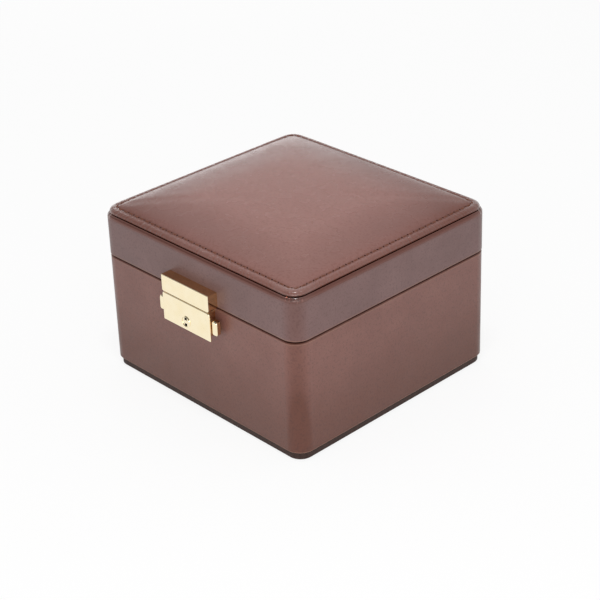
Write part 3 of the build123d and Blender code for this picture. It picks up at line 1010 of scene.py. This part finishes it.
class KeyholeRow:
    """A row at a distance outside the keyhole, or shrunk towards its centre."""

    def __init__(self, grow, height, shrink=1.0):
        self.grow, self.height, self.shrink = grow, height, shrink

    def point(self, side, share):
        angle = math.radians(90 * side - 90 + 45 * share)
        reach = (keyhole(angle) + self.grow) * self.shrink
        return Vector((reach * math.cos(angle), reach * math.sin(angle), self.height))


class BlendRow:
    """A row between the quarter's straight sides and the mouth of the seat."""

    outer, mouth = Ring(quarter_x, quarter_y, 0.0, sheet_high.z), KeyholeRow(mouth_roll, sheet_high.z)

    def __init__(self, part, offset):
        self.part, self.offset = part, offset

    def point(self, side, share):
        outer = self.outer.point(side, share) - self.offset
        return outer.lerp(self.mouth.point(side, share), self.part)


def seat_rings(offset):
    """From the quarter's sides over the mouth and down to the floor's middle."""
    wall_top, wall_bottom = sheet_high.z - mouth_roll, seat_floor + floor_cove
    return [*(BlendRow(part, offset) for part in top_parts),
            *(KeyholeRow(mouth_roll * (1 - up), sheet_high.z - mouth_roll * turned)
              for turned, up in quarter_arc(4)),
            *(KeyholeRow(0.0, wall_top + (wall_bottom - wall_top) * part) for part in wall_parts),
            *(KeyholeRow(-floor_cove * turned, seat_floor + floor_cove * (1 - up))
              for turned, up in quarter_arc(3, 1)),
            *(KeyholeRow(-floor_cove, seat_floor, shrink) for shrink in floor_parts)]


print("seat, mm across:", round(2 * seat_radius / mm, 1), "and notch to", round(notch_end / mm, 1))

# %% The velvet sheet with four seats
hem_drops = (0.5 * mm, 1.6 * mm)
ripple = 0.10 * mm


def join(whole, part):
    """Adds one bmesh to another. The added one is freed."""
    mesh = bpy.data.meshes.new("part")
    part.to_mesh(mesh)
    part.free()
    whole.from_mesh(mesh)
    bpy.data.meshes.remove(mesh)


def make_velvet_sheet():
    whole = bmesh.new()
    for left in (1, 3):
        low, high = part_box(f"recess_cushion_{left}")
        for mirror in (1, -1):
            seat = Vector(((low.x + high.x) / 2 * mirror, (low.y + high.y) / 2, 0.0))
            middle = Vector((math.copysign(quarter_x, seat.x), math.copysign(quarter_y, seat.y), 0.0))
            quarter = ringed_patch(seat_rings(seat - middle))
            bmesh.ops.translate(quarter, verts=quarter.verts, vec=seat)
            join(whole, quarter)
    bmesh.ops.remove_doubles(whole, verts=whole.verts, dist=0.02 * mm)
    bmesh.ops.recalc_face_normals(whole, faces=whole.faces)
    if sum(face.normal.z for face in whole.faces) < 0:
        bmesh.ops.reverse_faces(whole, faces=whole.faces)
    edges = open_edges(whole)
    for drop in hem_drops:
        edges, verts = extend(whole, edges)
        for vert in verts:
            vert.co.z = sheet_high.z - drop
    return whole


velvet_shape = make_velvet_sheet()
for vert in velvet_shape.verts:
    x, y, z = vert.co
    if z > sheet_high.z - 0.1 * mm:
        wave = math.sin(x * 310 + 1.3) * math.sin(y * 270) + 0.5 * math.sin(x * 730 - y * 610)
        vert.co.z += ripple * (wave - 1.5)
velvet_sheet = new_piece("insert_velvet_sheet", velvet_shape, velvet)
cloth_layer = velvet_sheet.modifiers.new("thickness", "SOLIDIFY")
cloth_layer.thickness = velvet_thickness
cloth_layer.offset = -1.0
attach(velvet_sheet, "case")
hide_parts("insert_velvet")
print("velvet sheet faces:", len(velvet_sheet.data.polygons))

# %% [markdown]
# ## Cushions in the seats
#
# Each watch lies on a round cushion: two velvet discs sewn together round the edge
# and lightly filled. A flattened sphere would be too even. The discs start thin,
# with small gathers at the seam, and are blown up as cloth. They are kept off the
# floor of the seat.

# %% Four seat cushions
cushion_gathers = 26
cushion_start = 0.72        # share of the height before it is blown up
cushion_margin = 0.995
gather_depth, gather_pull = 0.16, 0.004
cushion_pressure, cushion_cap = 3.0, 0.30


def make_cushion(low, high):
    middle = (low + high) / 2
    radius, half = (high.x - low.x) / 2, (high.z - low.z) / 2
    shape = bmesh.new()
    bmesh.ops.create_uvsphere(shape, u_segments=72, v_segments=28, radius=1.0)
    for vert in shape.verts:
        x, y, z = vert.co
        reach = min(math.hypot(x, y), 1.0)
        gathers = 1 + math.cos(cushion_gathers * math.atan2(y, x))
        rounded = math.sqrt(max(0.0, 1 - reach ** 5)) * (1 - gather_depth * gathers * reach ** 8)
        puff = cushion_start * half * rounded
        spread = radius * cushion_margin * (1 - gather_pull * gathers * reach ** 4)
        vert.co = (x * spread, y * spread, 0.0 if abs(z) < 1e-6 else math.copysign(puff, z))
    swell(shape, lambda place: 1.0 if math.hypot(place.x, place.y) > 0.97 * radius else 0.0,
          cushion_pressure, cushion_cap * half)
    shape = subdivided(shape)
    for vert in shape.verts:
        vert.co += middle
        vert.co.z = max(vert.co.z, low.z + 0.05 * mm)
    bmesh.ops.recalc_face_normals(shape, faces=shape.faces)
    return shape


for number in range(1, 5):
    node = f"recess_cushion_{number}"
    cushion = new_piece(f"seat_cushion_{number}", make_cushion(*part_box(node)), velvet)
    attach(cushion, "case")
    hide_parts(node)
print("cushions made: 4")

# %% [markdown]
# ## Padding under the lid
#
# Inside the lid a velvet-covered pad keeps the watches in their seats. It is a wide,
# soft cushion that is flat against the ceiling and bulges down. It is a ringed patch
# like the panel outside, turned to face down, and swollen as cloth.

# %% The ceiling pad
pad_low, pad_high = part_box("lid_ceiling_pad")
pad_edge = 3.4 * mm
pad_corner = 4 * mm
pad_belly = 0.7 * mm
belly_reach = 9 * mm
pad_depth = pad_high.z - pad_low.z - pad_belly
pad_start = 0.8 * mm        # the rounded edge begins this far below the ceiling
pad_rows = 22
pad_widening = 0.5
pad_pressure, pad_cap = 2.0, 0.5 * pad_belly
pad_pinned = 6 * mm


def pad_ring(inset, drop, corner=pad_corner):
    return Ring(pad_high.x - inset, pad_high.y - inset, corner, pad_high.z - drop)


def belly(distance):
    """The height of the pad's underside, at a distance in from its rounded edge."""
    return pad_high.z - pad_depth - 0.45 * pad_belly * (1 - math.exp(-distance / belly_reach))


def ceiling_rings():
    edge = [pad_ring(pad_edge * turned + 0.15 * mm, pad_start + (pad_depth - pad_start) * up)
            for turned, up in quarter_arc(8)]
    parts = [step / pad_rows for step in range(1, pad_rows + 1)]
    half_x, half_y = pad_high.x - pad_edge, pad_high.y - pad_edge
    return [pad_ring(0.9 * mm, 0.05 * mm, 3 * mm), *edge,
            *shrinking_rings(half_x, half_y, pad_corner, pad_widening, parts, belly)]


def ceiling_pins(place):
    inward = min(pad_high.x - abs(place.x), pad_high.y - abs(place.y))
    return max(0.0, 1.0 - inward / pad_pinned)


pad_shape = ringed_patch(ceiling_rings())
bmesh.ops.reverse_faces(pad_shape, faces=pad_shape.faces)
swell(pad_shape, ceiling_pins, pad_pressure, pad_cap)
pad_shape = subdivided(pad_shape)
bmesh.ops.holes_fill(pad_shape, edges=open_edges(pad_shape), sides=0)
bmesh.ops.recalc_face_normals(pad_shape, faces=pad_shape.faces)
ceiling_pad = new_piece("ceiling_pad", pad_shape, velvet)
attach(ceiling_pad, "lid")
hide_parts("lid_ceiling_pad")
print("ceiling pad, mm thick:", round((pad_high.z - pad_low.z) / mm, 1))

# %% [markdown]
# ## Hinge screws
#
# Two countersunk brass screws hold every hinge leaf. They are tiny, but the open case
# shows them, and a slot that is really cut catches the light as a painted line can't.

# %% Countersunk screws
screw_radius = 1.45 * mm
screw_thickness = 0.7 * mm
screw_proud = 0.12 * mm
screw_spacing = 15 * mm
screw_inset = 3.4 * mm      # from the leaf's front edge
slot_width = 0.42 * mm
slot_depth = 0.3 * mm


def add_screw(shape, place, facing, turned):
    """A screw head with a slot. facing is 1 where it looks up, and -1 where it looks down."""
    head = bmesh.new()
    bmesh.ops.create_cone(head, cap_ends=True, segments=28, radius1=screw_radius * 0.8,
                          radius2=screw_radius, depth=screw_thickness)
    bmesh.ops.translate(head, verts=head.verts, vec=(0, 0, screw_proud - screw_thickness / 2))
    rim = [edge for edge in head.edges if all(vert.co.z > 0 for vert in edge.verts)]
    bmesh.ops.bevel(head, geom=rim, offset=0.1 * mm, affect="EDGES", segments=2, profile=0.5,
                    material=-1)
    for side in (-1, 1):
        bmesh.ops.bisect_plane(head, geom=head.verts[:] + head.edges[:] + head.faces[:],
                               plane_co=(0, side * slot_width / 2, 0), plane_no=(0, 1, 0))
    strip = [face for face in head.faces
             if face.normal.z > 0.9 and abs(face.calc_center_median().y) < slot_width / 2]
    sunk = bmesh.ops.extrude_face_region(head, geom=strip)["geom"]
    bmesh.ops.delete(head, geom=strip, context="FACES_ONLY")
    bmesh.ops.translate(head, verts=[item for item in sunk if isinstance(item, bmesh.types.BMVert)],
                        vec=(0, 0, -slot_depth))
    bmesh.ops.rotate(head, verts=head.verts, matrix=Matrix.Rotation(turned, 3, "Z"))
    if facing < 0:
        bmesh.ops.rotate(head, verts=head.verts, matrix=Matrix.Rotation(math.pi, 3, "X"))
    bmesh.ops.translate(head, verts=head.verts, vec=place)
    bmesh.ops.recalc_face_normals(head, faces=head.faces)
    join(shape, head)


for leaf, body, level, facing in (("base_leaf", "case", base_high.z, 1),
                                  ("lid_leaf", "lid", lid_low.z, -1)):
    shape = bmesh.new()
    for side in ("left", "right"):
        low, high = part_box(f"hinge_{side}_{leaf}")
        for number in (-1, 1):
            place = ((low.x + high.x) / 2 + number * screw_spacing / 2, low.y + screw_inset, level)
            add_screw(shape, place, facing, 0.7 + 1.9 * number + low.x * 9)    # no two slots line up
    screws = new_piece(f"hinge_screws_{body}", shape, hinge_brass, smooth=False)
    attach(screws, body)
print("hinge screws made: 8")
